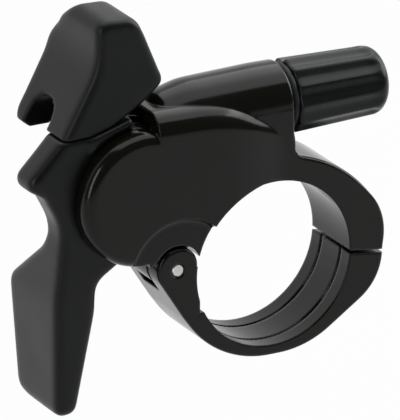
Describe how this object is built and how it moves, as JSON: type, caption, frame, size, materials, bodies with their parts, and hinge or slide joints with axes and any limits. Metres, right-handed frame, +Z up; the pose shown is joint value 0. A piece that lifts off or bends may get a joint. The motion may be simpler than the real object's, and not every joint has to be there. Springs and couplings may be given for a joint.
{
  "type": "fork lockout lever",
  "caption": "Handlebar remote lever with a hinged clamp, a rocking thumb lever and a barrel adjuster for a control cable.",
  "frame": {"origin": "centre of the bar clamp's bore, in the middle of its width", "axes": "+Y along the handlebar away from the lever's front face, +X towards the cable adjuster, +Z up from the bar to the cable barrel"},
  "size_m": [0.0516, 0.0169, 0.0529],
  "materials": {
    "body_black": "gloss black",
    "lever_black": "satin black",
    "cap_grey": "matte dark grey",
    "knob_black": "satin black",
    "seal_rubber": "matte",
    "screw_black": "black oxide",
    "pin_steel": "satin",
    "nylon": "natural"
  },
  "bodies": {
    "housing_body": {"housing": "body_black", "rear_cover": "body_black", "cover_screws": "screw_black", "pivot_axle": "pin_steel", "axle_screw": "screw_black", "thrust_washer": "nylon", "hinge_pin": "pin_steel"},
    "lever_body": {"lever_arm": "lever_black", "axle_bush_front": "nylon", "axle_bush_rear": "nylon", "cable_anchor_screw": "screw_black", "detent_ball": "pin_steel", "detent_spring": "pin_steel", "thumb_cap": "cap_grey", "cap_screw": "screw_black"},
    "strap_body": {"clamp_strap": "body_black", "clamp_screw": "screw_black", "clamp_washer": "pin_steel"},
    "adjuster_body": {"adjuster_knob": "knob_black", "adjuster_barrel": "screw_black", "seal_ring": "seal_rubber"}
  },
  "joints": [
    {"name": "lever_rock", "type": "hinge", "parent": "housing_body", "child": "lever_body", "pos_m": [-0.0187, 0, 0.0122], "axis": [0, -1, 0], "range_deg": [0, 20]},
    {"name": "strap_hinge", "type": "hinge", "parent": "housing_body", "child": "strap_body", "pos_m": [-0.01385, 0, 0.0016], "axis": [0, 1, 0], "range_deg": [0, 40]},
    {"name": "adjuster_turn", "type": "hinge", "parent": "housing_body", "child": "adjuster_body", "pos_m": [0.0106, 0, 0.0205], "axis": [1, 0, 0], "continuous": true}
  ]
}
